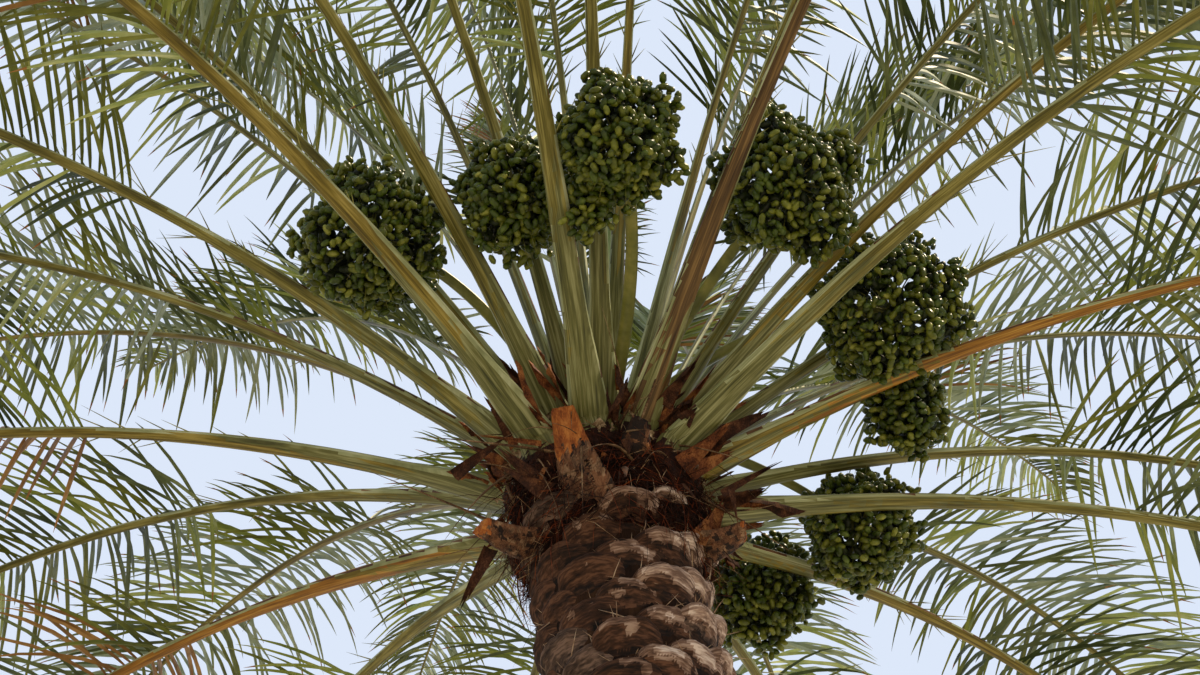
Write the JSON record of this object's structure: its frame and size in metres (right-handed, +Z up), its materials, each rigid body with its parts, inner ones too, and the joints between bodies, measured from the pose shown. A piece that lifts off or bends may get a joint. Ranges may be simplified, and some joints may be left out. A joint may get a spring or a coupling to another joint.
{
  "type": "date palm tree in fruit",
  "caption": "Date palm with a leaning trunk clad in cut leaf bases, a round crown of arching feather fronds, and bunches of unripe green dates among the leaf stalks.",
  "frame": {"origin": "middle of the flat cut under the trunk, at ground level", "axes": "+Z up; the trunk leans to -X; the side that the picture was taken from is -Y"},
  "size_m": [7.3474, 7.3656, 8.8754],
  "materials": {
    "trunk_bark": "rough dead leaf bases",
    "leaf_base_fibre": "coarse brown fibre and fresh cut leaf bases",
    "frond_leaf": "leathery grey-green leaf",
    "date_fruit": "smooth waxy skin"
  },
  "bodies": {
    "root": {"crown_shaft": "leaf_base_fibre", "date_bunch_1": "date_fruit", "date_bunch_2": "date_fruit", "date_bunch_3": "date_fruit", "date_bunch_4": "date_fruit", "date_bunch_5": "date_fruit", "date_bunch_6": "date_fruit", "date_bunch_7": "date_fruit", "frond_01": "frond_leaf", "frond_02": "frond_leaf", "frond_03": "frond_leaf", "frond_04": "frond_leaf", "frond_05": "frond_leaf", "frond_06": "frond_leaf", "frond_07": "frond_leaf", "frond_08": "frond_leaf", "frond_09": "frond_leaf", "frond_10": "frond_leaf", "frond_11": "frond_leaf", "frond_12": "frond_leaf", "frond_13": "frond_leaf", "frond_14": "frond_leaf", "frond_15": "frond_leaf", "frond_16": "frond_leaf", "frond_17": "frond_leaf", "frond_18": "frond_leaf", "frond_19": "frond_leaf", "frond_20": "frond_leaf", "frond_21": "frond_leaf", "frond_22": "frond_leaf", "frond_23": "frond_leaf", "frond_24": "frond_leaf", "frond_25": "frond_leaf", "frond_26": "frond_leaf", "frond_27": "frond_leaf", "frond_28": "frond_leaf", "frond_29": "frond_leaf", "frond_30": "frond_leaf", "frond_31": "frond_leaf", "frond_32": "frond_leaf", "frond_33": "frond_leaf", "frond_34": "frond_leaf", "frond_35": "frond_leaf", "frond_36": "frond_leaf", "frond_37": "frond_leaf", "frond_38": "frond_leaf", "frond_39": "frond_leaf", "frond_40": "frond_leaf", "frond_41": "frond_leaf", "frond_42": "frond_leaf", "frond_43": "frond_leaf", "frond_44": "frond_leaf", "frond_45": "frond_leaf", "spear": "frond_leaf", "trunk": "trunk_bark"}
  },
  "joints": []
}
